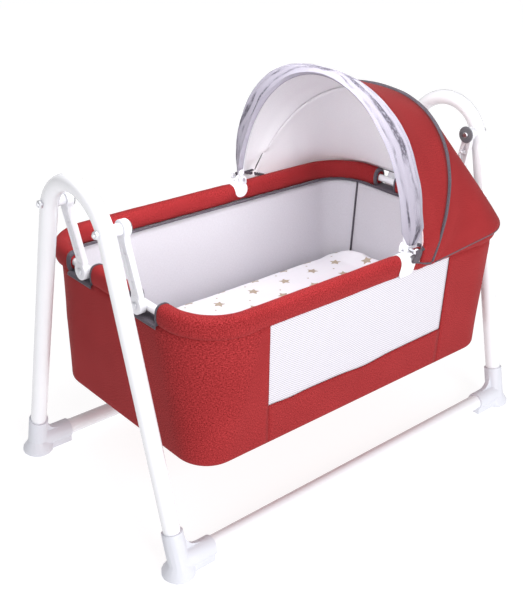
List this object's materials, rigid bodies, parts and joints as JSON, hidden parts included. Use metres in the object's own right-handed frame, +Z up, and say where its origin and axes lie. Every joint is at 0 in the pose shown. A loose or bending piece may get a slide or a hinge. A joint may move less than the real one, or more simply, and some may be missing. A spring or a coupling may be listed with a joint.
{
  "type": "swinging baby cradle",
  "caption": "Swinging baby cradle: a padded fabric basket with mesh windows and a folding hood, hung by arms from a white tube stand.",
  "frame": {"origin": "middle of the footprint, on the floor under the feet", "axes": "+X along the cradle's length towards the hood, +Y across its width towards the rear side, +Z up"},
  "size_m": [1.1136, 0.6052, 0.876],
  "materials": {
    "white_paint": "gloss white powder coat",
    "white_plastic": "satin white moulding",
    "grey_plastic": "fine matt light grey moulding",
    "dark_plastic": "matt dark grey moulding",
    "chrome": "bright plated steel",
    "red_cloth": "red melange weave",
    "pale_cloth": "pale printed cotton",
    "dark_cloth": "dark woven binding",
    "mesh_cloth": "fine white net",
    "board": "plain pressed board"
  },
  "bodies": {
    "stand": {"near_end_frame": "white_paint", "far_end_frame": "white_paint", "front_floor_tube": "white_paint", "rear_floor_tube": "white_paint", "foot_near_front": "grey_plastic", "foot_near_rear": "grey_plastic", "foot_far_front": "grey_plastic", "foot_far_rear": "grey_plastic", "pivot_bolt_near_front": "chrome", "pivot_bolt_near_rear": "chrome", "pivot_bolt_far_front": "chrome", "pivot_bolt_far_rear": "chrome", "pivot_nut_near_front": "chrome", "pivot_nut_near_rear": "chrome", "pivot_nut_far_front": "chrome", "pivot_nut_far_rear": "chrome", "spacer_near_front": "white_plastic", "spacer_near_rear": "white_plastic", "spacer_far_front": "white_plastic", "spacer_far_rear": "white_plastic", "washer_near_front": "dark_plastic", "washer_near_rear": "dark_plastic", "washer_far_front": "dark_plastic", "washer_far_rear": "dark_plastic"},
    "arm_near_front": {"arm_near_front": "white_plastic"},
    "arm_near_rear": {"arm_near_rear": "white_plastic"},
    "arm_far_front": {"arm_far_front": "white_plastic"},
    "arm_far_rear": {"arm_far_rear": "white_plastic"},
    "basket": {"basket_rail": "white_paint", "sleeve_near_middle": "red_cloth", "sleeve_far_middle": "red_cloth", "sleeve_front_near": "red_cloth", "sleeve_front_far": "red_cloth", "sleeve_rear_near": "red_cloth", "sleeve_rear_far": "red_cloth", "basket_shell": "red_cloth", "mesh_window_front": "mesh_cloth", "mesh_window_rear": "mesh_cloth", "lining": "pale_cloth", "lining_piping": "dark_cloth", "base_board": "board", "mattress": "pale_cloth", "rail_clip_front": "white_plastic", "rail_clip_rear": "white_plastic", "hood_pin_front": "chrome", "hood_pin_rear": "chrome", "basket_bolt_near_front": "chrome", "basket_bolt_near_rear": "chrome", "basket_bolt_far_front": "chrome", "basket_bolt_far_rear": "chrome", "hood_rear_panel": "red_cloth"},
    "rib": {"hood_rib": "dark_cloth", "hood_front_panel": "red_cloth"},
    "hoop": {"front_hoop": "white_plastic", "net_bundle": "mesh_cloth"}
  },
  "joints": [
    {"name": "swing_near_rear", "type": "hinge", "parent": "stand", "child": "arm_near_rear", "pos_m": [-0.493, 0.0952, 0.669], "axis": [1, 0, 0], "range_deg": [-18, 18]},
    {"name": "swing_near_front", "type": "hinge", "parent": "stand", "child": "arm_near_front", "pos_m": [-0.493, -0.0952, 0.669], "axis": [1, 0, 0], "range_deg": [-18, 18]},
    {"name": "swing_far_front", "type": "hinge", "parent": "stand", "child": "arm_far_front", "pos_m": [0.493, -0.0952, 0.669], "axis": [1, 0, 0], "range_deg": [-18, 18]},
    {"name": "swing_far_rear", "type": "hinge", "parent": "stand", "child": "arm_far_rear", "pos_m": [0.493, 0.0952, 0.669], "axis": [1, 0, 0], "range_deg": [-18, 18]},
    {"name": "basket_level", "type": "hinge", "parent": "arm_near_rear", "child": "basket", "pos_m": [-0.4663, 0.0952, 0.509], "axis": [1, 0, 0], "range_deg": [-18, 18]},
    {"name": "rib_fold", "type": "hinge", "parent": "basket", "child": "rib", "pos_m": [0.0915, 0, 0.538], "axis": [0, 1, 0], "range_deg": [0, 30], "deforming": ["hood_rear_panel"]},
    {"name": "hoop_fold", "type": "hinge", "parent": "rib", "child": "hoop", "pos_m": [0.0915, 0, 0.538], "axis": [0, 1, 0], "range_deg": [0, 28], "deforming": ["hood_front_panel"]}
  ],
  "couplings": [
    {"joint": "swing_near_front", "follows": "swing_near_rear", "ratio": 1},
    {"joint": "swing_far_front", "follows": "swing_near_rear", "ratio": 1},
    {"joint": "swing_far_rear", "follows": "swing_near_rear", "ratio": 1},
    {"joint": "basket_level", "follows": "swing_near_rear", "ratio": -1},
    {"joint": "hoop_fold", "follows": "rib_fold", "ratio": 0.93}
  ]
}
